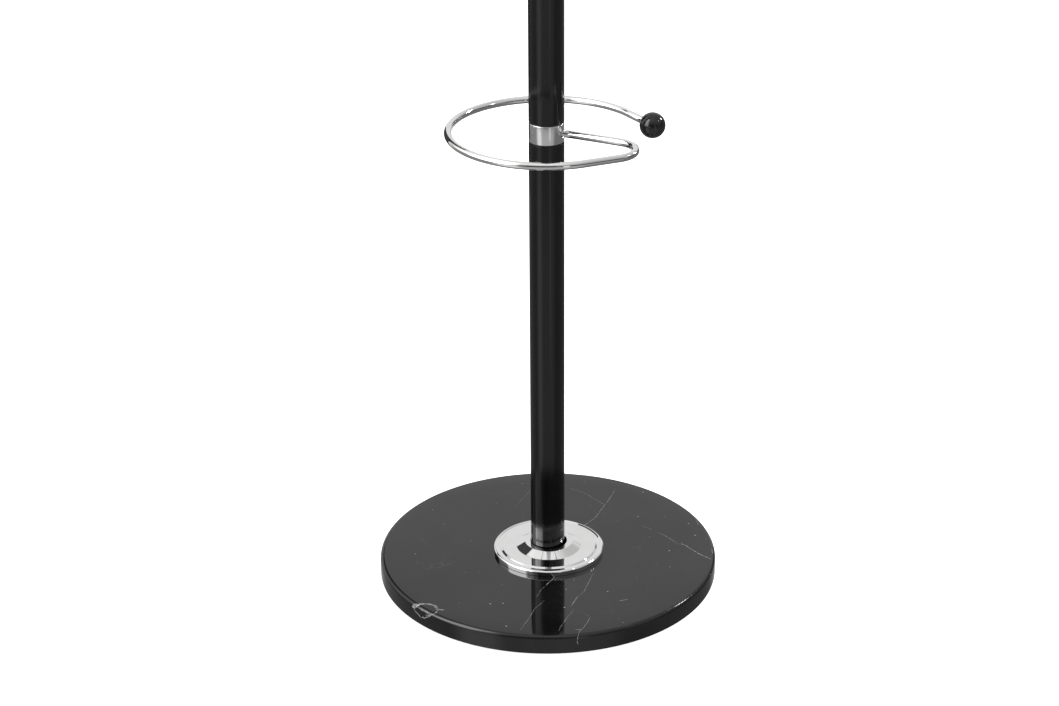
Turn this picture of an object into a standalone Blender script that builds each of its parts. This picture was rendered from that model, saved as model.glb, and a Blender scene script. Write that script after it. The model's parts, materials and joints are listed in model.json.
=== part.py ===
"""Standing coat rack: a polished stone disc, a black tube in three sections,
a turning umbrella ring and a turning head with eight hooks. Metres, +Z up."""
import math

import bpy
from mathutils import Matrix, Vector

for old in list(bpy.data.objects):
    bpy.data.objects.remove(old)

GAP = 0.0003            # clearance between touching pieces

# base
PAD_H = 0.0017
PAD_R = 0.013
PAD_RING = 0.150
BASE_R = 0.190
BASE_Z0 = PAD_H + GAP
BASE_T = 0.022
BASE_Z1 = BASE_Z0 + BASE_T
BASE_ROUND = 0.0045
BASE_BEVEL = 0.0015
BORE_R = 0.0056         # clearance hole for the base bolt
RECESS_R = 0.0200
RECESS_H = 0.0100

# tube
TUBE_R = 0.0191
TUBE_WALL = 0.0012
TUBE_Z0 = BASE_Z1 + GAP
SECTION_L = 0.520       # middle and upper sections
PLUG_R = TUBE_R - TUBE_WALL - GAP
PLUG_L = 0.020
THREAD_R = 0.0049       # M10 bolts and studs
TAPPED_R = THREAD_R + GAP
PLATE_X = 0.0011        # the loose cover plate lies this far off the axis

# umbrella ring
COLLAR_Z0 = 0.5176
COLLAR_H = 0.0208
COLLAR_Z1 = COLLAR_Z0 + COLLAR_H
WASHER_T = 0.0007
RING_R = 0.1040
RING_CY = -0.0025
WIRE_R = 0.0042
ARM_AZ = math.radians(-25.2)
STRAND_AZ = math.radians(-67.6)     # where the circle leaves for the bend
END_AZ = math.radians(33.0)         # where the circle leaves for the ball
END_L = 0.0458
BEND_R = 0.0260
BALL_R = 0.0140
SOCKET_R0 = 0.0092      # how near the axis a rod reaches

# head
HUB_H = 0.060
CAP_H = 0.018
UPPER_ROW = 0.045       # height of the upper rods in the hub
LOWER_ROW = 0.015

PARTS = bpy.data.collections.new("standing_coat_rack")
bpy.context.scene.collection.children.link(PARTS)
CUTTERS = bpy.data.collections.new("cutters")
bpy.context.scene.collection.children.link(CUTTERS)
CUTTERS.hide_render = True


def material(name, color, roughness, metallic):
    mat = bpy.data.materials.new(name)
    mat.use_nodes = True
    shader = mat.node_tree.nodes["Principled BSDF"]
    shader.inputs["Base Color"].default_value = (*color, 1.0)
    shader.inputs["Roughness"].default_value = roughness
    shader.inputs["Metallic"].default_value = metallic
    mat.diffuse_color = (*color, 1.0)
    return mat


STONE = material("black_marble", (0.020, 0.020, 0.022), 0.12, 0.0)
CHROME = material("chrome", (0.80, 0.80, 0.81), 0.06, 1.0)
SATIN = material("satin_chrome", (0.66, 0.66, 0.67), 0.22, 1.0)
PAINT = material("black_paint", (0.022, 0.022, 0.024), 0.30, 0.0)
STEEL = material("zinc_steel", (0.55, 0.56, 0.57), 0.38, 1.0)
RUBBER = material("black_rubber", (0.030, 0.030, 0.030), 0.80, 0.0)
NYLON = material("black_nylon", (0.020, 0.020, 0.020), 0.55, 0.0)
GLOSS = material("gloss_black", (0.012, 0.012, 0.013), 0.08, 0.0)


def place(obj, mat, z=0.0, parent=None, smooth=None):
    """Links obj to the parts, at height z on the pole's axis."""
    PARTS.objects.link(obj)
    if not obj.data.materials:
        obj.data.materials.append(mat)
    if parent is None:
        obj.location = (0.0, 0.0, z)
    else:
        obj.parent = parent
        obj.location = (0.0, 0.0, z - parent.location.z)
    if smooth is not None:
        bpy.context.view_layer.objects.active = obj
        obj.select_set(True)
        obj.data.shade_smooth()
        obj.data.set_sharp_from_angle(angle=math.radians(smooth))
        obj.select_set(False)
    return obj


def turned(name, profile, steps, mat, z=0.0, parent=None, smooth=35):
    """A turned solid. profile lists (radius, height): it runs down the outer side, and
    closes on itself through a bore unless both its ends are on the axis."""
    mesh = bpy.data.meshes.new(name)
    verts = [(r, 0.0, h) for r, h in profile]
    edges = [(i, i + 1) for i in range(len(verts) - 1)]
    if profile[0][0] > 0.0:
        edges.append((len(verts) - 1, 0))
    mesh.from_pydata(verts, edges, [])
    obj = bpy.data.objects.new(name, mesh)
    place(obj, mat, z, parent)
    screw = obj.modifiers.new("turn", "SCREW")
    screw.axis = "Z"
    screw.steps = steps
    screw.render_steps = steps
    screw.use_merge_vertices = True
    screw.merge_threshold = 0.00001
    screw.use_smooth_shade = smooth is not None
    return obj


def sleeve(name, outer, inner, length, steps, mat, z, parent=None, ease=0.0):
    """A plain sleeve standing on z, its outer corners eased by ease."""
    profile = [(outer, length - ease), (outer, ease)]
    if ease > 0.0:
        profile.append((outer - ease, 0.0))
    else:
        profile = [(outer, length), (outer, 0.0)]
    profile += [(inner, 0.0), (inner, length)]
    if ease > 0.0:
        profile.append((outer - ease, length))
    return turned(name, profile, steps, mat, z, parent)


def stud(name, length, z, parent=None):
    r = THREAD_R
    profile = [(0.0, length), (r - 0.0009, length), (r, length - 0.0010)]
    profile += [(r, 0.0010), (r - 0.0009, 0.0), (0.0, 0.0)]
    return turned(name, profile, 16, STEEL, z, parent)


def cut(target, tool):
    """Cuts tool out of target and keeps tool as a hidden wire cutter."""
    CUTTERS.objects.link(tool)
    tool.hide_render = True
    tool.display_type = "WIRE"
    boolean = target.modifiers.new("cut_" + tool.name, "BOOLEAN")
    boolean.operation = "DIFFERENCE"
    boolean.solver = "EXACT"
    boolean.object = tool


def prism(name, radius, z0, z1, sides, matrix=None):
    """A straight prism along its own Z from z0 to z1, moved by matrix."""
    mesh = bpy.data.meshes.new(name)
    verts = []
    for h in (z0, z1):
        for i in range(sides):
            a = 2.0 * math.pi * (i + 0.5) / sides
            verts.append((radius * math.cos(a), radius * math.sin(a), h))
    faces = [tuple(reversed(range(sides))), tuple(range(sides, 2 * sides))]
    for i in range(sides):
        j = (i + 1) % sides
        faces.append((i, j, sides + j, sides + i))
    mesh.from_pydata(verts, [], faces)
    obj = bpy.data.objects.new(name, mesh)
    if matrix is not None:
        obj.matrix_world = matrix
    return obj


def arc(centre, radius, a0, a1, count):
    """count + 1 points of a circle in a plane, as (u, v) pairs."""
    out = []
    for i in range(count + 1):
        a = a0 + (a1 - a0) * i / count
        out.append((centre[0] + radius * math.cos(a), centre[1] + radius * math.sin(a)))
    return out


def rounded(corners, radii, count):
    """The polyline through corners with each inner corner rounded, as 2-D points."""
    out = [Vector(corners[0])]
    for i in range(1, len(corners) - 1):
        p = Vector(corners[i])
        back = (Vector(corners[i - 1]) - p).normalized()
        ahead = (Vector(corners[i + 1]) - p).normalized()
        half = 0.5 * back.angle(ahead)
        reach = radii[i - 1] / math.tan(half)
        centre = p + (back + ahead).normalized() * (radii[i - 1] / math.sin(half))
        v0 = (p + back * reach) - centre
        v1 = (p + ahead * reach) - centre
        a0 = math.atan2(v0.y, v0.x)
        turn = math.atan2(v0.x * v1.y - v0.y * v1.x, v0.dot(v1))
        for u, v in arc(centre, radii[i - 1], a0, a0 + turn, count):
            out.append(Vector((u, v)))
    out.append(Vector(corners[-1]))
    return out


def rod(name, points, radius, mat, z, parent):
    """A round rod through points, given about the pole's axis at height z."""
    curve = bpy.data.curves.new(name, "CURVE")
    curve.dimensions = "3D"
    curve.bevel_depth = radius
    curve.bevel_resolution = 2
    curve.use_fill_caps = True
    spline = curve.splines.new("POLY")
    spline.points.add(len(points) - 1)
    for spot, p in zip(spline.points, points):
        spot.co = (p[0], p[1], p[2], 1.0)
    spline.use_smooth = True
    obj = bpy.data.objects.new(name, curve)
    return place(obj, mat, z, parent)


def ball(name, centre, direction, depth, parent):
    """A ball with a blind socket facing against direction, for a rod's end."""
    r = BALL_R
    hole = WIRE_R + GAP
    start = math.asin(hole / r)
    profile = [(0.0, r)]
    count = 8
    for i in range(1, count + 1):
        a = (math.pi - start) * i / count
        profile.append((r * math.sin(a), r * math.cos(a)))
    profile += [(hole, -r + depth), (0.0, -r + depth)]
    obj = turned(name, profile, 14, GLOSS, 0.0, parent)
    turn = Vector((0.0, 0.0, 1.0)).rotation_difference(Vector(direction).normalized())
    obj.rotation_mode = "QUATERNION"
    obj.rotation_quaternion = turn
    obj.location = centre
    return obj


def pivot(name, z):
    """An empty on the pole's axis that a turning group hangs from."""
    empty = bpy.data.objects.new(name, None)
    empty.empty_display_size = 0.03
    PARTS.objects.link(empty)
    empty.location = (0.0, 0.0, z)
    return empty


# ---------------------------------------------------------------- base
def marble_profile():
    top, low = BASE_T, 0.0
    out = [(BORE_R, top)]
    centre = (BASE_R - BASE_ROUND, top - BASE_ROUND)
    out += arc(centre, BASE_ROUND, math.pi / 2, 0.0, 4)
    out += [(BASE_R, low + BASE_BEVEL), (BASE_R - BASE_BEVEL, low)]
    out += [(RECESS_R, low), (RECESS_R, RECESS_H), (BORE_R, RECESS_H)]
    return out


turned("marble_base", marble_profile(), 48, STONE, BASE_Z0)

for index in range(4):
    angle = math.radians(45.0 + 90.0 * index)
    pad = turned("base_pad_%d" % (index + 1),
                 [(0.0, PAD_H), (PAD_R - 0.0008, PAD_H), (PAD_R, 0.0), (0.0, 0.0)],
                 20, RUBBER)
    pad.location = (PAD_RING * math.cos(angle), PAD_RING * math.sin(angle), 0.0)

# pressed cover plate: a flat mouth, a cone, a flat, a step down and a rolled rim
FACE = [(0.0205, 0.0113), (0.0205, 0.0120), (0.0266, 0.0120), (0.0364, 0.0067),
        (0.0374, 0.0065), (0.0526, 0.0065), (0.0548, 0.0050), (0.0580, 0.0050),
        (0.0598, 0.0060), (0.0608, 0.0059), (0.0620, 0.0048), (0.0622, 0.0042),
        (0.0622, 0.0000)]
UNDER = [(0.0612, 0.0000), (0.0612, 0.0044), (0.0602, 0.0051), (0.0583, 0.0041),
         (0.0545, 0.0041), (0.0523, 0.0056), (0.0370, 0.0056), (0.0264, 0.0111),
         (0.0208, 0.0110)]
plate = turned("base_flange", FACE + UNDER, 40, CHROME, BASE_Z1 + GAP)
plate.location.x = PLATE_X

# fixing under the base
WASHER_TOP = BASE_Z0 + RECESS_H - GAP
sleeve("base_washer", 0.0180, BORE_R, 0.0020, 24, STEEL, WASHER_TOP - 0.0020)
SPRING_TOP = WASHER_TOP - 0.0020 - GAP
spring = sleeve("base_spring_washer", 0.0088, TAPPED_R + 0.0001, 0.0016, 24, STEEL, SPRING_TOP - 0.0016)
slot = prism("spring_slot", 0.0042, -0.0005, 0.0025, 4,
             Matrix.Translation((0.0, 0.0, SPRING_TOP - 0.0016))
             @ Matrix.Rotation(math.radians(16.0), 4, "Z")
             @ Matrix.Translation((0.0075, 0.0, 0.0))
             @ Matrix.Diagonal((1.0, 0.22, 1.0, 1.0)))
cut(spring, slot)
HEAD_TOP = SPRING_TOP - 0.0016 - GAP
HEAD_H = 0.0046
BOLT_L = 0.0360


def bolt_profile():
    r, top = THREAD_R, HEAD_H + BOLT_L
    out = [(0.0, top), (r - 0.0009, top), (r, top - 0.0010), (r, HEAD_H)]
    out += [(0.0080, HEAD_H), (0.0084, HEAD_H - 0.0004), (0.0084, 0.0005)]
    out += [(0.0079, 0.0), (0.0, 0.0)]
    return out


bolt = turned("base_bolt", bolt_profile(), 24, STEEL, HEAD_TOP - HEAD_H)
cut(bolt, prism("bolt_hexagon", 0.0046, -0.0010, 0.0028, 6,
                Matrix.Translation((0.0, 0.0, HEAD_TOP - HEAD_H))))

# ---------------------------------------------------------------- pole
LOWER_Z1 = COLLAR_Z0 - WASHER_T - 2 * GAP
MIDDLE_Z0 = COLLAR_Z1 + WASHER_T + 2 * GAP
MIDDLE_Z1 = MIDDLE_Z0 + SECTION_L
UPPER_Z0 = MIDDLE_Z1 + GAP
UPPER_Z1 = UPPER_Z0 + SECTION_L

for label, z0, z1 in (("lower", TUBE_Z0, LOWER_Z1), ("middle", MIDDLE_Z0, MIDDLE_Z1),
                      ("upper", UPPER_Z0, UPPER_Z1)):
    sleeve("tube_" + label, TUBE_R, TUBE_R - TUBE_WALL, z1 - z0, 30, PAINT, z0, ease=0.0003)
    sleeve("plug_%s_bottom" % label, PLUG_R, TAPPED_R, PLUG_L, 16, STEEL, z0 + GAP)
    sleeve("plug_%s_top" % label, PLUG_R, TAPPED_R, PLUG_L, 16, STEEL, z1 - GAP - PLUG_L)

stud("joint_stud", 0.0600, MIDDLE_Z1 - 0.0300)

# ---------------------------------------------------------------- umbrella ring
RING_Z = COLLAR_Z0 + COLLAR_H / 2
stud("collar_stud", 0.0600, RING_Z - 0.0300)
sleeve("collar_washer_lower", 0.0186, TAPPED_R, WASHER_T, 20, NYLON, COLLAR_Z0 - GAP - WASHER_T)
sleeve("collar_washer_upper", 0.0186, TAPPED_R, WASHER_T, 20, NYLON, COLLAR_Z1 + GAP)

holder = pivot("umbrella_holder_pivot", RING_Z)
collar = sleeve("umbrella_collar", TUBE_R, TAPPED_R, COLLAR_H, 30, SATIN, COLLAR_Z0, holder, ease=0.0005)


def rod_hole(name, azimuth, z):
    aim = Matrix.Rotation(azimuth, 4, "Z") @ Matrix.Rotation(math.pi / 2, 4, "Y")
    return prism(name, WIRE_R + GAP, SOCKET_R0 - GAP, TUBE_R + 0.003, 12,
                 Matrix.Translation((0.0, 0.0, z)) @ aim)


cut(collar, rod_hole("collar_rod_hole", ARM_AZ, RING_Z))


def ring_points():
    """Arm, tight bend, straight strand, the circle clockwise, then a straight end."""
    arm = Vector((math.cos(ARM_AZ), math.sin(ARM_AZ)))
    centre = Vector((0.0, RING_CY))
    out_n = Vector((math.cos(STRAND_AZ), math.sin(STRAND_AZ)))
    touch = centre + out_n * RING_R
    reach = (RING_R + out_n.dot(centre)) / out_n.dot(arm)
    corner = arm * reach
    flat = rounded([arm * SOCKET_R0, corner, touch], [BEND_R], 12)
    sweep = (END_AZ - 2.0 * math.pi) - STRAND_AZ
    circle = arc(centre, RING_R, STRAND_AZ, STRAND_AZ + sweep, 36)
    flat += [Vector(p) for p in circle[1:]]
    tangent = Vector((math.sin(END_AZ), -math.cos(END_AZ)))
    last = flat[-1]
    middle = last + tangent * END_L
    flat.append(middle - tangent * (BALL_R - 0.0090))
    return [(p.x, p.y, 0.0) for p in flat], middle, tangent


points, ball_spot, ball_way = ring_points()
rod("umbrella_ring", points, WIRE_R, CHROME, RING_Z, holder)
ball("umbrella_ball", (ball_spot.x, ball_spot.y, 0.0), (ball_way.x, ball_way.y, 0.0),
     0.0093, holder)

# ---------------------------------------------------------------- head
HUB_Z0 = UPPER_Z1 + WASHER_T + 2 * GAP
HUB_Z1 = HUB_Z0 + HUB_H
sleeve("head_washer_lower", 0.0186, TAPPED_R, WASHER_T, 20, NYLON, UPPER_Z1 + GAP)
stud("head_stud", PLUG_L + WASHER_T + HUB_H + 0.013, UPPER_Z1 - PLUG_L)
sleeve("head_washer_upper", 0.0186, TAPPED_R, WASHER_T, 20, NYLON, HUB_Z1 + GAP)
CAP_Z0 = HUB_Z1 + WASHER_T + 2 * GAP


def cap_profile():
    out = [(0.0, CAP_H)]
    for i in range(1, 5):
        a = 0.5 * math.pi * i / 4
        out.append((TUBE_R * math.sin(a), 0.004 + (CAP_H - 0.004) * math.cos(a)))
    out += [(TUBE_R, 0.0004), (TUBE_R - 0.0004, 0.0), (TAPPED_R, 0.0)]
    out += [(TAPPED_R, 0.0125), (0.0, 0.0125)]
    return out


turned("head_cap", cap_profile(), 24, GLOSS, CAP_Z0)

head = pivot("hook_head_pivot", HUB_Z0)
hub = sleeve("hook_hub", TUBE_R, TAPPED_R, HUB_H, 30, SATIN, HUB_Z0, head, ease=0.0005)


def hook(row, number, azimuth, row_z, corners, radii, count):
    """A rod out of the hub with a ball on its end, in the vertical plane at azimuth."""
    flat = rounded(corners, radii, count)
    along = (flat[-1] - flat[-2]).normalized()
    end = flat[-1] - along * (BALL_R - 0.0090)
    flat[-1] = end
    c, s = math.cos(azimuth), math.sin(azimuth)
    solid = [(p.x * c, p.x * s, p.y) for p in flat]
    name = "hook_%s_%d" % (row, number)
    z = HUB_Z0 + row_z
    rod(name, solid, WIRE_R, CHROME, z, head)
    tip = Vector(corners[-1])
    ball("%s_ball" % name, (tip.x * c, tip.x * s, tip.y + row_z),
         (along.x * c, along.x * s, along.y), 0.0093, head)
    cut(hub, rod_hole("hub_hole_%s_%d" % (row, number), azimuth, z))


UPPER = [(SOCKET_R0, 0.0), (0.078, 0.0), (0.134, 0.100)]
LOWER = [(SOCKET_R0, 0.0), (0.044, 0.0), (0.058, -0.058), (0.094, -0.058), (0.106, 0.012)]
for index in range(4):
    hook("upper", index + 1, math.radians(90.0 * index), UPPER_ROW, UPPER, [0.032], 7)
    hook("lower", index + 1, math.radians(45.0 + 90.0 * index), LOWER_ROW, LOWER,
         [0.014, 0.015, 0.015], 5)
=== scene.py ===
"""Looks for the standing coat rack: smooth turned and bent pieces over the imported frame,
polished stone, mirror and satin chrome, black paint and gloss black balls."""
import json
import math
import random

import bmesh
import bpy
from mathutils import Matrix, Vector

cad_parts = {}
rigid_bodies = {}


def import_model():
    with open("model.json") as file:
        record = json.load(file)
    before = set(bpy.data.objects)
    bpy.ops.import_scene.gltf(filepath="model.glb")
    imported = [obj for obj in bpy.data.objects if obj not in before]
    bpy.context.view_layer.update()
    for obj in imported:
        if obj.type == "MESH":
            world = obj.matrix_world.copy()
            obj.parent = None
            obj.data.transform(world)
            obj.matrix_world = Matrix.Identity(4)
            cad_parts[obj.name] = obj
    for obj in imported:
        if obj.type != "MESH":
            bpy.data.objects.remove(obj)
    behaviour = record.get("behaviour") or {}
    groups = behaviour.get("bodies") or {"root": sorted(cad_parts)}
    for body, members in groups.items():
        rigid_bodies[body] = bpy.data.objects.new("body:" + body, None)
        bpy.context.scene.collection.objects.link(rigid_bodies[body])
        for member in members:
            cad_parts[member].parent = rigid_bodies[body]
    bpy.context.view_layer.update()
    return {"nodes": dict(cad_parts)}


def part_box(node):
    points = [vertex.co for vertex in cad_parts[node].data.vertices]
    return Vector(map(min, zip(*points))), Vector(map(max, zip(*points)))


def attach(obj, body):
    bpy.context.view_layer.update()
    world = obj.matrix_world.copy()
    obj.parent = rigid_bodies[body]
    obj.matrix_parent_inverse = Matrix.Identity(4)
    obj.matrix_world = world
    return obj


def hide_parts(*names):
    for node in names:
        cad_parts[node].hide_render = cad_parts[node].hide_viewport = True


for old in list(bpy.data.objects):
    bpy.data.objects.remove(old)

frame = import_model()
scene = bpy.context.scene
scene.view_settings.view_transform = "Standard"

STAND = "stand"
HOLDER = "umbrella_holder"
HEAD = "hook_head"

MM = 0.001
GAP = 0.0003            # between pieces that touch
BOLT_HOLE_R = 0.0056    # through the disc
STUD_HOLE_R = 0.0052    # through washers, collar, hub and into the cap
TUBE_WALL = 0.0012
WASHER_R = 0.0186       # a little under the pole, so that it reads as a seam
WIRE_R = 0.0042
SOCKET_R0 = 0.0092      # how near the pole's axis a rod reaches
BALL_R = 0.0140
BALL_SOCKET = 0.0090    # how deep a rod goes into its ball


# ---------------------------------------------------------------- materials
def new_material(name, color, roughness, metallic=0.0):
    mat = bpy.data.materials.new(name)
    mat.use_nodes = True
    shader = mat.node_tree.nodes["Principled BSDF"]
    shader.inputs["Base Color"].default_value = (*color, 1.0)
    shader.inputs["Roughness"].default_value = roughness
    shader.inputs["Metallic"].default_value = metallic
    mat.diffuse_color = (*color, 1.0)
    return mat, mat.node_tree, shader


def add(tree, kind, **values):
    node = tree.nodes.new(kind)
    for key, value in values.items():
        if key in node.inputs:
            node.inputs[key].default_value = value
        else:
            setattr(node, key, value)
    return node


def coords(tree, scale=(1.0, 1.0, 1.0)):
    """Object coordinates, which are metres in the frame's own axes."""
    where = add(tree, "ShaderNodeTexCoord")
    mapping = add(tree, "ShaderNodeMapping")
    mapping.inputs["Scale"].default_value = scale
    tree.links.new(where.outputs["Object"], mapping.inputs["Vector"])
    return mapping.outputs["Vector"]


def noise(tree, vector, scale, detail=3.0, rough=0.5, distortion=0.0):
    node = add(tree, "ShaderNodeTexNoise")
    node.inputs["Scale"].default_value = scale
    node.inputs["Detail"].default_value = detail
    node.inputs["Roughness"].default_value = rough
    node.inputs["Distortion"].default_value = distortion
    tree.links.new(vector, node.inputs["Vector"])
    return node.outputs["Fac"]


def ramp(tree, value, stops):
    """stops lists (position, grey) or (position, (r, g, b))."""
    node = add(tree, "ShaderNodeValToRGB")
    bits = node.color_ramp.elements
    while len(bits) < len(stops):
        bits.new(0.5)
    for bit, (place, tone) in zip(bits, stops):
        bit.position = place
        rgb = tone if isinstance(tone, tuple) else (tone, tone, tone)
        bit.color = (*rgb, 1.0)
    tree.links.new(value, node.inputs["Fac"])
    return node.outputs["Color"]


def remap(tree, value, low, high, out_low, out_high):
    node = add(tree, "ShaderNodeMapRange")
    node.inputs["From Min"].default_value = low
    node.inputs["From Max"].default_value = high
    node.inputs["To Min"].default_value = out_low
    node.inputs["To Max"].default_value = out_high
    tree.links.new(value, node.inputs["Value"])
    return node.outputs["Result"]


def bump(tree, shader, height, strength, distance):
    node = add(tree, "ShaderNodeBump")
    node.inputs["Strength"].default_value = strength
    node.inputs["Distance"].default_value = distance
    tree.links.new(height, node.inputs["Height"])
    tree.links.new(node.outputs["Normal"], shader.inputs["Normal"])


def mix_color(tree, factor, a, b):
    node = add(tree, "ShaderNodeMix", data_type="RGBA")
    tree.links.new(factor, node.inputs[0])
    for socket, value in ((node.inputs[6], a), (node.inputs[7], b)):
        if isinstance(value, tuple):
            socket.default_value = (*value, 1.0)
        else:
            tree.links.new(value, socket)
    return node.outputs[2]


def metal(name, tone, rough_low, rough_high, scratch, stretch=(1.0, 1.0, 1.0), tint=0.99):
    """Polished or satin metal: faint cloudy roughness and fine rubbing marks."""
    mat, tree, shader = new_material(name, (tone, tone, tone), rough_low, 1.0)
    at = coords(tree)
    cloud = noise(tree, at, 38.0, 4.0, 0.55)
    fine = noise(tree, coords(tree, stretch), 900.0, 3.0, 0.6)
    tree.links.new(remap(tree, cloud, 0.35, 0.70, rough_low, rough_high), shader.inputs["Roughness"])
    low, high = tone * 0.955, min(tone * 1.01, 1.0)
    shade = ramp(tree, cloud, [(0.30, (low, low, low * tint)), (0.70, (high, high, high))])
    tree.links.new(shade, shader.inputs["Base Color"])
    bump(tree, shader, fine, scratch, 0.00002)
    return mat


def glossy_black(name, color, rough, orange_peel, wave, level=0.5):
    """Black paint or moulded gloss: slight orange peel and uneven gloss."""
    mat, tree, shader = new_material(name, color, rough)
    at = coords(tree)
    peel = noise(tree, at, wave, 2.0, 0.5)
    haze = noise(tree, at, 24.0, 4.0, 0.6)
    tree.links.new(remap(tree, haze, 0.3, 0.7, rough * 0.85, rough * 1.25), shader.inputs["Roughness"])
    dark = tuple(c * 0.8 for c in color)
    light = tuple(c * 1.25 for c in color)
    tree.links.new(ramp(tree, haze, [(0.3, dark), (0.7, light)]), shader.inputs["Base Color"])
    shader.inputs["Specular IOR Level"].default_value = level
    bump(tree, shader, peel, orange_peel, 0.0001)
    return mat


CHROME = metal("chrome", 0.90, 0.015, 0.045, 0.03)
PLATE = metal("chrome_plate", 0.90, 0.02, 0.05, 0.04)
SATIN = metal("satin_chrome", 0.86, 0.13, 0.18, 0.10, (1.0, 1.0, 0.03))
PAINT = glossy_black("black_paint", (0.0024, 0.0024, 0.0025), 0.15, 0.10, 900.0, level=0.45)
GLOSS = glossy_black("gloss_black", (0.0060, 0.0060, 0.0062), 0.055, 0.02, 300.0)


def rough_solid(name, color, spread, rough, grain, grain_scale, metallic=0.0):
    """Rubber, nylon or plated steel: mottled, with a fine grain."""
    mat, tree, shader = new_material(name, color, rough, metallic)
    at = coords(tree)
    blotch = noise(tree, at, 140.0, 4.0, 0.6)
    dark = tuple(c * (1.0 - spread) for c in color)
    light = tuple(min(c * (1.0 + spread), 1.0) for c in color)
    tree.links.new(ramp(tree, blotch, [(0.32, dark), (0.68, light)]), shader.inputs["Base Color"])
    gloss = remap(tree, blotch, 0.3, 0.7, rough * 0.85, min(rough * 1.15, 1.0))
    tree.links.new(gloss, shader.inputs["Roughness"])
    bump(tree, shader, noise(tree, at, grain_scale, 2.0, 0.5), grain, 0.0001)
    return mat


RUBBER = rough_solid("black_rubber", (0.028, 0.028, 0.028), 0.30, 0.75, 0.50, 2600.0)
NYLON = rough_solid("black_nylon", (0.012, 0.012, 0.012), 0.20, 0.50, 0.20, 1800.0)
STEEL = rough_solid("zinc_steel", (0.55, 0.56, 0.57), 0.12, 0.34, 0.12, 1500.0, 1.0)


def stone_material(name, vein):
    """Polished black marble. vein = 0 is the ground; above it, a pale calcite line."""
    mat, tree, shader = new_material(name, (0.009, 0.009, 0.010), 0.05)
    at = coords(tree)
    cloud = noise(tree, at, 9.0, 6.0, 0.62, 0.6)
    ground = ramp(tree, cloud, [(0.30, (0.0022, 0.0022, 0.0025)), (0.52, (0.0042, 0.0042, 0.0046)),
                                (0.78, (0.0080, 0.0080, 0.0084))])
    # hairline network: cell borders bent by noise, kept only where a cloud lets them through
    warp = add(tree, "ShaderNodeTexNoise")
    warp.inputs["Scale"].default_value = 14.0
    warp.inputs["Detail"].default_value = 4.0
    tree.links.new(at, warp.inputs["Vector"])
    push = add(tree, "ShaderNodeVectorMath", operation="MULTIPLY_ADD")
    tree.links.new(warp.outputs["Color"], push.inputs[0])
    push.inputs[1].default_value = (0.055, 0.055, 0.055)
    tree.links.new(at, push.inputs[2])
    cells = add(tree, "ShaderNodeTexVoronoi", feature="DISTANCE_TO_EDGE")
    cells.inputs["Scale"].default_value = 11.0
    tree.links.new(push.outputs["Vector"], cells.inputs["Vector"])
    line = remap(tree, cells.outputs["Distance"], 0.0, 0.006, 1.0, 0.0)
    gate = remap(tree, noise(tree, at, 17.0, 3.0, 0.5), 0.52, 0.68, 0.0, 0.32)
    hair = add(tree, "ShaderNodeMath", operation="MULTIPLY", use_clamp=True)
    tree.links.new(line, hair.inputs[0])
    tree.links.new(gate, hair.inputs[1])
    body = mix_color(tree, hair.outputs[0], ground, (0.10, 0.10, 0.10))
    # pinprick crystals
    dots = add(tree, "ShaderNodeTexVoronoi", feature="F1")
    dots.inputs["Scale"].default_value = 260.0
    tree.links.new(at, dots.inputs["Vector"])
    pin = remap(tree, dots.outputs["Distance"], 0.05, 0.11, 1.0, 0.0)
    pin_gate = remap(tree, noise(tree, at, 31.0, 2.0, 0.5), 0.60, 0.66, 0.0, 0.14)
    pins = add(tree, "ShaderNodeMath", operation="MULTIPLY", use_clamp=True)
    tree.links.new(pin, pins.inputs[0])
    tree.links.new(pin_gate, pins.inputs[1])
    body = mix_color(tree, pins.outputs[0], body, (0.22, 0.22, 0.22))
    if vein:
        broken = noise(tree, at, 210.0, 3.0, 0.65)
        show = remap(tree, broken, 0.36, 0.58, 0.25, 1.0)
        shade = ramp(tree, noise(tree, at, 60.0, 2.0, 0.5), [(0.35, vein * 0.6), (0.65, vein)])
        body = mix_color(tree, show, body, shade)
    tree.links.new(body, shader.inputs["Base Color"])
    tree.links.new(remap(tree, cloud, 0.3, 0.75, 0.035, 0.075), shader.inputs["Roughness"])
    bump(tree, shader, noise(tree, at, 55.0, 2.0, 0.5), 0.012, 0.0002)
    return mat


STONE = stone_material("black_marble", 0.0)
VEIN = stone_material("marble_vein", 0.42)
VEIN_MID = stone_material("marble_vein_mid", 0.25)
VEIN_FAINT = stone_material("marble_vein_faint", 0.12)


def ground_stone():
    """The honed edge and underside: a little duller than the polished face."""
    mat, tree, shader = new_material("marble_ground_edge", (0.006, 0.006, 0.006), 0.16)
    at = coords(tree)
    cloud = noise(tree, at, 11.0, 6.0, 0.6, 0.4)
    fine = noise(tree, at, 700.0, 3.0, 0.6)
    tree.links.new(ramp(tree, cloud, [(0.3, 0.0035), (0.7, 0.0065)]), shader.inputs["Base Color"])
    tree.links.new(remap(tree, cloud, 0.3, 0.7, 0.10, 0.16), shader.inputs["Roughness"])
    bump(tree, shader, fine, 0.10, 0.0001)
    return mat


EDGE = ground_stone()


# ---------------------------------------------------------------- shapes
def arc(centre, radius, a0, a1, count):
    out = []
    for i in range(count + 1):
        a = a0 + (a1 - a0) * i / count
        out.append((centre[0] + radius * math.cos(a), centre[1] + radius * math.sin(a)))
    return out


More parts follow.
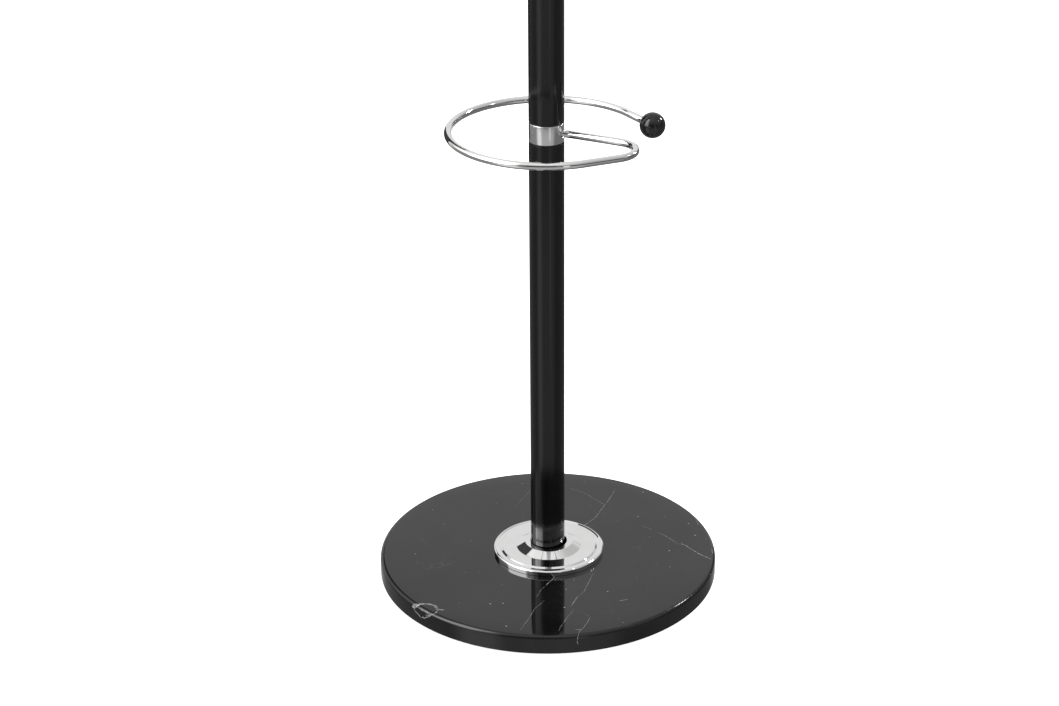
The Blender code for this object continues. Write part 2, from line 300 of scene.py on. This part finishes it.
def rounded(corners, radii, count):
    """The polyline through corners with each inner corner rounded, as 2-D points."""
    out = [Vector(corners[0])]
    for i in range(1, len(corners) - 1):
        p = Vector(corners[i])
        back = (Vector(corners[i - 1]) - p).normalized()
        ahead = (Vector(corners[i + 1]) - p).normalized()
        half = 0.5 * back.angle(ahead)
        reach = radii[i - 1] / math.tan(half)
        centre = p + (back + ahead).normalized() * (radii[i - 1] / math.sin(half))
        v0 = (p + back * reach) - centre
        v1 = (p + ahead * reach) - centre
        a0 = math.atan2(v0.y, v0.x)
        turn = math.atan2(v0.x * v1.y - v0.y * v1.x, v0.dot(v1))
        out += [Vector(q) for q in arc(centre, radii[i - 1], a0, a0 + turn, count)]
    out.append(Vector(corners[-1]))
    return out


def finish_mesh(name, verts, faces, mats, face_mats=None, sharp=40.0, matrix=None):
    mesh = bpy.data.meshes.new(name)
    if matrix is not None:
        verts = [matrix @ Vector(v) for v in verts]
    mesh.from_pydata([tuple(v) for v in verts], [], faces)
    for mat in mats:
        mesh.materials.append(mat)
    if face_mats is not None:
        mesh.polygons.foreach_set("material_index", face_mats)
    mesh.validate()
    mesh.shade_smooth()
    mesh.set_sharp_from_angle(angle=math.radians(sharp))
    mesh.update()
    obj = bpy.data.objects.new(name, mesh)
    scene.collection.objects.link(obj)
    return obj


def lathe(name, profile, steps, mats, z=0.0, sharp=40.0, matrix=None, face_slot=None):
    """A turned piece about its own Z. profile runs down the outside; ends on the axis
    close to a point, and otherwise the profile closes on itself."""
    verts, faces, slots = [], [], []
    rings = []
    for r, h in profile:
        if r < 1e-7:
            rings.append([len(verts)])
            verts.append((0.0, 0.0, h + z))
            continue
        rings.append(list(range(len(verts), len(verts) + steps)))
        for i in range(steps):
            a = 2.0 * math.pi * i / steps
            verts.append((r * math.cos(a), r * math.sin(a), h + z))
    pairs = [(i, i + 1) for i in range(len(rings) - 1)]
    if profile[0][0] > 1e-7:
        pairs.append((len(rings) - 1, 0))
    for n, (i, j) in enumerate(pairs):
        a, b = rings[i], rings[j]
        which = face_slot(profile[i], profile[j]) if face_slot else 0
        for k in range(steps):
            m = (k + 1) % steps
            if len(a) == 1 and len(b) == 1:
                continue
            if len(a) == 1:
                faces.append((a[0], b[k], b[m]))
            elif len(b) == 1:
                faces.append((a[k], b[0], a[m]))
            else:
                faces.append((a[k], b[k], b[m], a[m]))
            slots.append(which)
    return finish_mesh(name, verts, faces, mats, slots, sharp, matrix)


def swept(name, points, side, radius, mats, sides=28):
    """A round rod along points, which lie in a plane with normal side. Its ends are eased."""
    side = Vector(side).normalized()
    points = [Vector(p) for p in points]
    verts, faces = [], []

    def ring(centre, tangent, r):
        across = side.cross(tangent).normalized()
        start = len(verts)
        for i in range(sides):
            a = 2.0 * math.pi * i / sides
            verts.append(centre + across * (r * math.cos(a)) + side * (r * math.sin(a)))
        return list(range(start, start + sides))

    tangents = []
    for i in range(len(points)):
        before = points[max(i - 1, 0)]
        after = points[min(i + 1, len(points) - 1)]
        tangents.append((after - before).normalized())
    ease = radius * 0.12
    rows = [ring(points[0], tangents[0], radius - ease)]
    rows.append(ring(points[0] + tangents[0] * ease, tangents[0], radius))
    for p, t in zip(points[1:-1], tangents[1:-1]):
        rows.append(ring(p, t, radius))
    rows.append(ring(points[-1] - tangents[-1] * ease, tangents[-1], radius))
    rows.append(ring(points[-1], tangents[-1], radius - ease))
    for a, b in zip(rows[:-1], rows[1:]):
        for k in range(sides):
            m = (k + 1) % sides
            faces.append((a[k], a[m], b[m], b[k]))
    faces.append(tuple(reversed(rows[0])))
    faces.append(tuple(rows[-1]))
    return finish_mesh(name, verts, faces, mats, sharp=50.0)


def put(obj, node, body):
    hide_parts(node)
    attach(obj, body)


def smooth_line(points, per):
    """A soft curve through points (Catmull-Rom), per steps to a span."""
    out = []
    p = [Vector(q) for q in points]
    p = [p[0] * 2 - p[1]] + p + [p[-1] * 2 - p[-2]]
    for i in range(1, len(p) - 2):
        for k in range(per):
            t = k / per
            a = 2 * p[i]
            b = (p[i + 1] - p[i - 1]) * t
            c = (2 * p[i - 1] - 5 * p[i] + 4 * p[i + 1] - p[i + 2]) * t * t
            d = (3 * p[i] - p[i - 1] - 3 * p[i + 1] + p[i + 2]) * t * t * t
            out.append((a + b + c + d) * 0.5)
    out.append(p[-2])
    return out


# ---------------------------------------------------------------- the stone disc
low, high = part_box("marble_base")
BASE_R, BASE_Z0, BASE_Z1 = high.x, low.z, high.z
ROUND = 0.0045
BEVEL = 0.0015
RECESS_R, RECESS_H = 0.0200, 0.0100
STONES = [STONE, EDGE, VEIN, VEIN_FAINT, VEIN_MID]
TOP, SIDE, BRIGHT, FAINT, MID = range(5)


def stone_profile():
    t = BASE_Z1 - BASE_Z0
    out = [(BOLT_HOLE_R, t), (0.060, t), (0.120, t), (0.165, t)]
    out += arc((BASE_R - ROUND, t - ROUND), ROUND, math.pi / 2, 0.0, 10)
    out += [(BASE_R, BEVEL + 0.0001)]
    out += arc((BASE_R - BEVEL, BEVEL), BEVEL, 0.0, -math.pi / 2, 3)
    out += [(0.150, 0.0), (RECESS_R + 0.001, 0.0), (RECESS_R, 0.001)]
    out += [(RECESS_R, RECESS_H), (BOLT_HOLE_R, RECESS_H)]
    return out


def on_stone(x, y, lift):
    """A point of the disc's top, or past its edge down the rounding and the side."""
    r = math.hypot(x, y)
    flat = BASE_R - ROUND
    if r <= flat:
        return Vector((x, y, BASE_Z1 + lift))
    c, s = x / r, y / r
    run = r - flat
    quarter = ROUND * math.pi / 2
    if run < quarter:
        a = run / ROUND
        rr = flat + (ROUND + lift) * math.sin(a)
        return Vector((rr * c, rr * s, BASE_Z1 - ROUND + (ROUND + lift) * math.cos(a)))
    return Vector(((BASE_R + lift) * c, (BASE_R + lift) * s, BASE_Z1 - ROUND - (run - quarter)))


def side_or_top(p, q):
    below = max(p[1], q[1]) < (BASE_Z1 - BASE_Z0) - 0.0001
    in_hole = max(p[0], q[0]) < 0.01
    return SIDE if below or in_hole else TOP


disc = lathe("marble_disc", stone_profile(), 256, STONES, BASE_Z0, 30.0, face_slot=side_or_top)

# veins, as points on the disc in millimetres: (points, width, slot)
VEINS = [
    ([(81, 147), (74, 124), (67, 105), (61, 90), (56, 76), (50, 67), (45, 60), (37, 47)], 0.55, MID),
    ([(25, 148), (31, 144), (43, 136), (55, 121), (62, 112), (68, 105)], 0.32, MID),
    ([(108, 54), (115, 50), (121, 45)], 0.60, FAINT),
    ([(125, 39), (133, 33), (139, 25), (144, 18), (148, 12)], 0.50, MID),
    ([(148, 12), (156, 9), (161, 2), (171, -11), (179, -19), (185, -25)], 0.60, BRIGHT),
    ([(152, 17), (154, 11), (159, 8)], 0.50, MID),
    ([(172, 74), (173, 64), (175, 55)], 0.40, MID),
    ([(186, 1), (187, -12)], 0.50, BRIGHT),
    ([(14, -56), (9, -57), (5, -68), (0, -77), (-2, -82)], 0.60, BRIGHT),
    ([(-2, -82), (-7, -90), (-10, -99), (-13, -106)], 0.50, MID),
    ([(-4, -114), (-9, -123), (-14, -131), (-17, -140), (-20, -150), (-28, -171), (-30, -177)], 0.45, MID),
    ([(51, -53), (48, -64), (45, -76), (42, -86), (39, -97), (33, -105)], 0.40, MID),
    ([(33, -105), (31, -110), (29, -116), (25, -127)], 0.60, BRIGHT),
    ([(28, -134), (20, -153), (14, -169), (11, -179)], 0.50, MID),
    ([(33, -137), (40, -143), (46, -149)], 0.35, FAINT),
    ([(46, -149), (43, -159), (39, -169), (36, -176), (33, -182), (32, -192), (34, -197)], 0.50, MID),
    ([(29, -176), (36, -175)], 0.60, BRIGHT),
    ([(77, -115), (82, -114), (87, -112)], 0.90, MID),
    ([(-20, 146), (-23, 136), (-31, 118), (-40, 96)], 0.35, FAINT),
]
# bright specks and dimmer dust, in millimetres
SPECKS = [(105, 77), (138, -4), (137, -41), (169, 32), (113, 137), (163, 60), (66, -95), (-49, -120),
          (-45, -168), (-63, -121), (18, -129), (20, -90)]
DUST = [(44, 164), (81, 66), (137, 77), (147, 70), (181, 23), (51, 103), (117, 28), (29, -70), (99, -64),
        (-51, -80), (81, -161), (76, -169), (8, -69), (-92, -52), (-77, -53), (-97, -119), (-120, 60),
        (-60, 110), (-150, -10), (-88, 20), (-30, 160), (-135, 95), (10, 120)]
# the pale inclusion at the front left edge, which runs over the rounding
SHELL = [([(-151, -120), (-146, -122), (-140, -123)], 4.6, BRIGHT),
         ([(-143, -122), (-137, -121), (-132, -121), (-127, -123), (-123, -126), (-120, -133)], 2.8, MID),
         ([(-122, -132), (-120, -133), (-112, -134)], 1.5, BRIGHT),
         ([(-120, -135), (-123, -141), (-128, -141), (-136, -138)], 1.0, BRIGHT),
         ([(-141, -126), (-138, -130), (-134, -134), (-129, -140)], 2.4, FAINT),
         ([(-150, -122), (-150, -126), (-148, -131), (-146, -137)], 1.2, MID),
         ([(-145, -137), (-142, -138), (-140, -140), (-133, -141), (-128, -142)], 1.2, MID)]
MARK_LIFT = 0.00003
LANE_MM = 0.8           # a ribbon wider than this is split, so that it follows the rounding


def stone_marks():
    """Calcite lines, specks and one pale inclusion, a hair above the polished face."""
    rng = random.Random(7)
    verts, faces, slots = [], [], []

    def ribbon(points, width, slot):
        line = smooth_line([(x * MM, y * MM) for x, y in points], 9)
        count = len(line)
        lanes = math.ceil(width / LANE_MM)
        for i, p in enumerate(line):
            ahead = line[min(i + 1, count - 1)] - line[max(i - 1, 0)]
            across = Vector((-ahead.y, ahead.x)).normalized()
            drift = across * (rng.gauss(0.0, 0.16) * MM)
            taper = min(1.0, 0.25 + min(i, count - 1 - i) / 6.0)
            half = across * (0.5 * width * MM * taper * rng.uniform(0.55, 1.35))
            for lane in range(lanes + 1):
                q = p + drift + half * (2.0 * lane / lanes - 1.0)
                verts.append(on_stone(q.x, q.y, MARK_LIFT))
            if i == 0:
                continue
            for n in range(len(verts) - lanes, len(verts)):
                faces.append((n - lanes - 2, n - lanes - 1, n, n - 1))
                slots.append(slot)

    for points, width, slot in VEINS:
        ribbon(points, width, slot)
    for points, width, slot in SHELL:
        ribbon(points, width, slot)
    for x, y in SPECKS + DUST:
        bright = (x, y) in SPECKS
        size = rng.uniform(0.50, 0.80) if bright else rng.uniform(0.35, 0.65)
        turn = rng.uniform(0.0, math.pi)
        start = len(verts)
        for i in range(7):
            a = 2.0 * math.pi * i / 7
            u = size * 1.5 * math.cos(a) * rng.uniform(0.7, 1.2)
            v = size * math.sin(a) * rng.uniform(0.7, 1.2)
            verts.append(on_stone((x + u * math.cos(turn) - v * math.sin(turn)) * MM,
                                  (y + u * math.sin(turn) + v * math.cos(turn)) * MM, MARK_LIFT))
        faces.append(tuple(range(start, start + 7)))
        slots.append(BRIGHT if bright else MID)
    return verts, faces, slots


marks_v, marks_f, marks_s = stone_marks()
marks = finish_mesh("marble_marks", marks_v, marks_f, STONES, marks_s, 60.0)
with bpy.context.temp_override(active_object=disc, selected_editable_objects=[disc, marks]):
    bpy.ops.object.join()
put(disc, "marble_base", STAND)

# ---------------------------------------------------------------- cover plate
low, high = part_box("base_flange")
# the plate's outside as (radius, height) from the bore outwards, and the radius of each inner corner
FACE = [(0.0205, 0.0113), (0.0205, 0.0120), (0.0268, 0.0120), (0.0368, 0.0065), (0.0526, 0.0065),
        (0.0548, 0.0050), (0.0580, 0.0050), (0.0603, 0.0062), (0.0622, 0.0048), (0.0622, 0.0)]
FACE_R = [0.0004, 0.0018, 0.0012, 0.0006, 0.0010, 0.0012, 0.0012, 0.0014]


def plate_profile():
    outer = rounded(FACE, FACE_R, 7)
    inner = rounded([(0.0612, 0.0), (0.0612, 0.0043), (0.0602, 0.0050), (0.0583, 0.0040),
                     (0.0545, 0.0040), (0.0523, 0.0055), (0.0366, 0.0055), (0.0266, 0.0110),
                     (0.0208, 0.0110)], [0.0004] * 7, 4)
    return [(p.x, p.y) for p in outer] + [(p.x, p.y) for p in inner]


PLATE_AT = Matrix.Translation((0.5 * (low.x + high.x), 0.0, 0.0))
plate = lathe("cover_plate", plate_profile(), 192, [PLATE], low.z, 50.0, PLATE_AT)
put(plate, "base_flange", STAND)


# ---------------------------------------------------------------- tubes and collars
def sleeve_profile(outer, inner, length, ease):
    out = rounded([(inner, length), (outer, length), (outer, 0.0), (inner, 0.0)], [ease, ease], 4)
    return [(p.x, p.y) for p in out]


for node in ("tube_lower", "tube_middle", "tube_upper"):
    low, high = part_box(node)
    tube = lathe(node + "_skin", sleeve_profile(high.x, high.x - TUBE_WALL, high.z - low.z, 0.0003), 128,
                 [PAINT], low.z, 35.0)
    put(tube, node, STAND)

for node in ("collar_washer_lower", "collar_washer_upper", "head_washer_lower", "head_washer_upper"):
    low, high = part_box(node)
    seam = lathe(node + "_seam", sleeve_profile(WASHER_R, STUD_HOLE_R, high.z - low.z, 0.00015), 96,
                 [NYLON], low.z, 35.0)
    put(seam, node, STAND)

SINK_WIDTH, SINK_DEPTH = 0.0008, 0.0007
DRILL_START = 0.03      # well outside the piece drilled


def bore(obj, azimuth, z, radius, reach):
    """Drills a rod's hole into obj, from outside, with a small countersink."""
    aim = Matrix.Translation((0.0, 0.0, z)) @ Matrix.Rotation(azimuth, 4, "Z")
    aim = aim @ Matrix.Rotation(math.pi / 2, 4, "Y")
    wide = radius + SINK_WIDTH
    drill = lathe("drill", [(0.0, DRILL_START), (wide + 0.004, DRILL_START), (wide, reach),
                            (radius, reach - SINK_DEPTH), (radius, SOCKET_R0 - GAP),
                            (0.0, SOCKET_R0 - GAP)], 48, [SATIN], 0.0, 30.0, aim)
    cut = obj.modifiers.new("bore", "BOOLEAN")
    cut.operation = "DIFFERENCE"
    cut.solver = "EXACT"
    cut.object = drill
    graph = bpy.context.evaluated_depsgraph_get()
    mesh = bpy.data.meshes.new_from_object(obj.evaluated_get(graph))
    obj.modifiers.clear()
    obj.data = mesh
    bpy.data.objects.remove(drill)
    obj.data.shade_smooth()
    obj.data.set_sharp_from_angle(angle=math.radians(28.0))


ARM_AZ = math.radians(-25.2)
low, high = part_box("umbrella_collar")
RING_Z = 0.5 * (low.z + high.z)
POLE_R = high.x
collar = lathe("umbrella_collar_band", sleeve_profile(high.x, STUD_HOLE_R, high.z - low.z, 0.0006), 192,
               [SATIN], low.z, 28.0)
bore(collar, ARM_AZ, RING_Z, WIRE_R + GAP, POLE_R)
put(collar, "umbrella_collar", HOLDER)

# ---------------------------------------------------------------- umbrella ring
# the circle's radius and its centre off the axis, where the strand meets it, and its straight end
RING_R = 0.1040
RING_CY = -0.0025
STRAND_AZ = math.radians(-67.6)
END_AZ = math.radians(33.0)
END_L = 0.0458
BEND_R = 0.0260


def ring_points():
    """Arm, bend, straight strand, the circle clockwise, then a straight end."""
    arm = Vector((math.cos(ARM_AZ), math.sin(ARM_AZ)))
    centre = Vector((0.0, RING_CY))
    out_n = Vector((math.cos(STRAND_AZ), math.sin(STRAND_AZ)))
    touch = centre + out_n * RING_R
    reach = (RING_R + out_n.dot(centre)) / out_n.dot(arm)
    flat = rounded([arm * SOCKET_R0, arm * reach, touch], [BEND_R], 48)
    sweep = (END_AZ - 2.0 * math.pi) - STRAND_AZ
    flat += [Vector(p) for p in arc(centre, RING_R, STRAND_AZ, STRAND_AZ + sweep, 220)[1:]]
    tangent = Vector((math.sin(END_AZ), -math.cos(END_AZ)))
    spot = flat[-1] + tangent * END_L
    flat.append(spot - tangent * (BALL_R - BALL_SOCKET))
    return [Vector((p.x, p.y, RING_Z)) for p in flat], spot, tangent


line, spot, way = ring_points()
ring = swept("umbrella_ring_rod", line, (0.0, 0.0, 1.0), WIRE_R, [CHROME], 36)
put(ring, "umbrella_ring", HOLDER)


def ball_piece(name, node, body, centre, direction):
    """A moulded ball with a socket for the rod, its mouth slightly eased."""
    hole = WIRE_R + GAP
    start = math.asin((hole + 0.0003) / BALL_R)
    profile = [(0.0, BALL_R)]
    for i in range(1, 41):
        a = (math.pi - start) * i / 40
        profile.append((BALL_R * math.sin(a), BALL_R * math.cos(a)))
    floor_of_hole = BALL_SOCKET + GAP - BALL_R
    profile += [(hole, profile[-1][1] + 0.0003), (hole, floor_of_hole), (0.0, floor_of_hole)]
    turn = Vector((0.0, 0.0, 1.0)).rotation_difference(Vector(direction).normalized())
    matrix = Matrix.Translation(centre) @ turn.to_matrix().to_4x4()
    ball = lathe(name, profile, 72, [GLOSS], 0.0, 35.0, matrix)
    put(ball, node, body)


ball_piece("umbrella_ring_ball", "umbrella_ball", HOLDER, (spot.x, spot.y, RING_Z), (way.x, way.y, 0.0))

# ---------------------------------------------------------------- head
low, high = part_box("hook_hub")
HUB_Z0 = low.z
# each row of hooks: height on the hub, the rod as (out, up) corners, bend radii, first azimuth
ROWS = {"upper": (0.045, [(SOCKET_R0, 0.0), (0.078, 0.0), (0.134, 0.100)], [0.032], 0.0),
        "lower": (0.015, [(SOCKET_R0, 0.0), (0.044, 0.0), (0.058, -0.058), (0.094, -0.058),
                          (0.106, 0.012)], [0.014, 0.015, 0.015], 45.0)}
hub = lathe("hook_hub_body", sleeve_profile(high.x, STUD_HOLE_R, high.z - low.z, 0.0006), 192,
            [SATIN], low.z, 28.0)
for row, (height, corners, radii, first) in ROWS.items():
    for index in range(4):
        azimuth = math.radians(first + 90.0 * index)
        c, s = math.cos(azimuth), math.sin(azimuth)
        flat = rounded(corners, radii, 20)
        along = (flat[-1] - flat[-2]).normalized()
        flat[-1] = flat[-1] - along * (BALL_R - BALL_SOCKET)
        line = [Vector((p.x * c, p.x * s, HUB_Z0 + height + p.y)) for p in flat]
        node = "hook_%s_%d" % (row, index + 1)
        rod = swept(node + "_rod", line, (s, -c, 0.0), WIRE_R, [CHROME], 28)
        put(rod, node, HEAD)
        tip = Vector(corners[-1])
        ball_piece(node + "_knob", node + "_ball", HEAD, (tip.x * c, tip.x * s, HUB_Z0 + height + tip.y),
                   (along.x * c, along.x * s, along.y))
        bore(hub, azimuth, HUB_Z0 + height, WIRE_R + GAP, POLE_R)
put(hub, "hook_hub", HEAD)

low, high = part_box("head_cap")
CAP_SIDE = 0.004        # the straight side under the dome


def cap_profile():
    height = high.z - low.z
    out = [(0.0, height)]
    for i in range(1, 25):
        a = 0.5 * math.pi * i / 24
        out.append((POLE_R * math.sin(a), CAP_SIDE + (height - CAP_SIDE) * math.cos(a)))
    out += [(POLE_R, 0.0004), (POLE_R - 0.0004, 0.0)]
    out += [(STUD_HOLE_R, 0.0), (STUD_HOLE_R, 0.0125), (0.0, 0.0125)]
    return out


cap = lathe("head_cap_dome", cap_profile(), 128, [GLOSS], low.z, 35.0)
put(cap, "head_cap", STAND)

# ---------------------------------------------------------------- CAD pieces that stay
for name, node in frame["nodes"].items():
    if name.startswith("base_pad"):
        keep = RUBBER
    elif name.startswith(("base_bolt", "base_washer", "base_spring", "plug", "joint_stud", "collar_stud",
                          "head_stud")):
        keep = STEEL
    else:
        continue
    node.material_slots[0].material = keep


# ---------------------------------------------------------------- floor, light, camera
def glow_material(name):
    """Gives off light but is never sampled as a lamp."""
    mat = bpy.data.materials.new(name)
    mat.use_nodes = True
    mat.cycles.emission_sampling = "NONE"
    tree = mat.node_tree
    tree.nodes.clear()
    glow = add(tree, "ShaderNodeEmission")
    out = add(tree, "ShaderNodeOutputMaterial")
    tree.links.new(glow.outputs[0], out.inputs["Surface"])
    return mat, tree, glow


def only_reflected(name, mesh, mat):
    """Puts mesh in the scene as an object that only reflections see."""
    mesh.materials.append(mat)
    obj = bpy.data.objects.new(name, mesh)
    scene.collection.objects.link(obj)
    obj.visible_camera = False
    obj.visible_diffuse = False
    obj.visible_shadow = False
    obj.visible_transmission = False


floor_mat, floor_tree, floor_shader = new_material("studio_floor", (0.86, 0.86, 0.86), 0.9)
floor_shader.inputs["Specular IOR Level"].default_value = 0.0
floor_at = coords(floor_tree)
floor_tone = ramp(floor_tree, noise(floor_tree, floor_at, 1.5, 3.0, 0.5), [(0.3, 0.855), (0.7, 0.865)])
floor_tree.links.new(floor_tone, floor_shader.inputs["Base Color"])
floor_shader.inputs["Emission Color"].default_value = (1.0, 1.0, 1.0, 1.0)
floor_shader.inputs["Emission Strength"].default_value = 0.85
floor_mesh = bpy.data.meshes.new("studio_floor")
floor_mesh.from_pydata([(-20, -20, 0), (20, -20, 0), (20, 20, 0), (-20, 20, 0)], [], [(0, 1, 2, 3)])
floor_mesh.materials.append(floor_mat)
floor = bpy.data.objects.new("studio_floor", floor_mesh)
scene.collection.objects.link(floor)
floor.visible_glossy = False

# what gloss and metal see: a soft studio painted by direction on the inside of a large
# sphere, in degrees of azimuth (0 towards -Y, + towards +X) and elevation
DOME_R = 15.0
# (elevation, tone) from straight down to straight up
HEIGHTS = [(-90, 0.30), (-60, 0.36), (-40, 0.42), (-14, 0.40), (-3, 0.18), (16, 0.22), (32, 0.40),
           (48, 0.55), (70, 0.70), (90, 0.95)]
# (azimuths, elevations, edge softness, tone), painted in this order
PANELS = [((-152, -66), (-74, -6), 7, 0.24),
          ((48, 152), (-74, -6), 10, 0.17),
          ((126, 234), (-14, 62), 8, 0.78),
          ((58, 148), (24, 62), 7, 0.54),
          ((98, 152), (-16, 19), 5, 0.15),
          ((-150, 34), (50, 84), 10, 0.88),
          ((-124, -33), (5, 60), 4, 1.15),
          ((-94, -48), (6, 62), 4, 2.2),
          ((-94, -48), (20, 62), 4, 6.0),
          ((-60, -33), (-50, -6), 7, 0.80),
          ((72, 99), (-8, 20), 4, 0.08),
          ((-30, 50), (3, 17), 2, 0.05),
          ((18, 25), (-24, 17), 1.5, 0.75)]


def studio_dome():
    mat, tree, glow = glow_material("studio_dome")
    link = tree.links.new

    def math_node(kind, a, b=0.0):
        node = add(tree, "ShaderNodeMath", operation=kind)
        for socket, value in ((node.inputs[0], a), (node.inputs[1], b)):
            if isinstance(value, (int, float)):
                socket.default_value = value
            else:
                link(value, socket)
        return node.outputs[0]

    def step_up(value, at, soft):
        node = add(tree, "ShaderNodeMapRange", interpolation_type="SMOOTHSTEP")
        node.inputs["From Min"].default_value = at - soft
        node.inputs["From Max"].default_value = at + soft
        link(value, node.inputs["Value"])
        return node.outputs["Result"]

    where = add(tree, "ShaderNodeTexCoord")
    aim = add(tree, "ShaderNodeVectorMath", operation="NORMALIZE")
    link(where.outputs["Object"], aim.inputs[0])
    parts = add(tree, "ShaderNodeSeparateXYZ")
    link(aim.outputs["Vector"], parts.inputs[0])
    azimuth = math_node("DEGREES", math_node("ARCTAN2", parts.outputs["X"],
                                             math_node("MULTIPLY", parts.outputs["Y"], -1.0)))
    elevation = math_node("DEGREES", math_node("ARCSINE", parts.outputs["Z"]))
    # azimuth again from -60 to 300, for a panel that crosses the back
    behind = math_node("LESS_THAN", azimuth, -60.0)
    wrapped = math_node("ADD", azimuth, math_node("MULTIPLY", behind, 360.0))
    tone = ramp(tree, remap(tree, elevation, -90.0, 90.0, 0.0, 1.0),
                [((h + 90.0) / 180.0, t) for h, t in HEIGHTS])
    for (a0, a1), (e0, e1), soft, level in PANELS:
        round_way = wrapped if a1 > 180 else azimuth
        mask = math_node("MULTIPLY", step_up(round_way, a0, soft),
                         math_node("SUBTRACT", 1.0, step_up(round_way, a1, soft)))
        mask = math_node("MULTIPLY", mask, step_up(elevation, e0, soft))
        mask = math_node("MULTIPLY", mask, math_node("SUBTRACT", 1.0, step_up(elevation, e1, soft)))
        tone = mix_color(tree, mask, tone, (level, level, level))
    link(tone, glow.inputs["Color"])
    grid = bmesh.new()
    bmesh.ops.create_uvsphere(grid, u_segments=48, v_segments=24, radius=DOME_R)
    mesh = bpy.data.meshes.new("studio_dome")
    grid.to_mesh(mesh)
    grid.free()
    only_reflected("studio_dome", mesh, mat)


studio_dome()


def upright(name, azimuth, distance, width, z0, z1, strength):
    """A studio card standing across the given azimuth, facing the pole."""
    a = math.radians(azimuth)
    away = Vector((math.sin(a), -math.cos(a), 0.0))
    along = Vector((math.cos(a), math.sin(a), 0.0))
    centre = away * distance
    corners = [tuple(centre + along * (0.5 * width * u) + Vector((0.0, 0.0, z)))
               for u, z in ((-1, z0), (1, z0), (1, z1), (-1, z1))]
    mat, _, glow = glow_material(name)
    glow.inputs["Strength"].default_value = strength
    mesh = bpy.data.meshes.new(name)
    mesh.from_pydata(corners, [], [(0, 1, 2, 3)])
    only_reflected(name, mesh, mat)


# what stands nearer: a soft box, two lamps, a dark screen and the dark camera side
upright("soft_box_left", -57, 0.95, 0.62, 0.65, 1.11, 4.5)
upright("key_lamp", 116, 1.30, 0.13, 1.03, 1.31, 55.0)
upright("near_lamp", 80, 0.44, 0.05, 0.79, 0.84, 12.0)
upright("dark_screen", -140, 0.60, 0.30, 0.27, 1.05, 0.05)
upright("camera_side", -6, 2.40, 1.45, 0.40, 1.72, 0.05)

world = bpy.data.worlds.new("studio")
scene.world = world
world.use_nodes = True
world.cycles_visibility.glossy = False
world.node_tree.nodes["Background"].inputs["Color"].default_value = (1.0, 1.0, 1.0, 1.0)
world.node_tree.nodes["Background"].inputs["Strength"].default_value = 0.80


def area(name, place, target, size, power):
    light = bpy.data.lights.new(name, "AREA")
    light.shape = "RECTANGLE"
    light.size, light.size_y = size
    light.energy = power
    obj = bpy.data.objects.new(name, light)
    scene.collection.objects.link(obj)
    obj.location = place
    aim = Vector(target) - Vector(place)
    obj.rotation_euler = aim.to_track_quat("-Z", "Y").to_euler()
    obj.visible_glossy = False


area("overhead", (0.0, 0.2, 3.6), (0.0, 0.0, 0.0), (4.0, 4.0), 130.0)
area("front_soft", (0.8, -2.6, 2.6), (0.0, 0.0, 0.3), (2.0, 2.0), 30.0)

# the photo's camera: lens, eye, and how it turns, looks down and tilts, in radians
LENS_MM, SENSOR_MM = 85.7881, 36.0
EYE = Vector((0.0, -2.50835, 1.43219 + BASE_Z0))
YAW, PITCH, ROLL = -0.00773, 0.43452, -0.00635
forward = Vector((math.sin(YAW) * math.cos(PITCH), math.cos(YAW) * math.cos(PITCH), -math.sin(PITCH)))
right = Vector((math.cos(YAW), -math.sin(YAW), 0.0))
up = right.cross(forward)
right_r = right * math.cos(ROLL) + up * math.sin(ROLL)
up_r = up * math.cos(ROLL) - right * math.sin(ROLL)
lens = bpy.data.cameras.new("camera")
lens.sensor_fit = "HORIZONTAL"
lens.sensor_width = SENSOR_MM
lens.lens = LENS_MM
lens.clip_end = 100.0
camera = bpy.data.objects.new("camera", lens)
scene.collection.objects.link(camera)
turn = Matrix((right_r, up_r, -forward)).transposed().to_4x4()
camera.matrix_world = Matrix.Translation(EYE) @ turn
scene.camera = camera

bpy.context.view_layer.update()
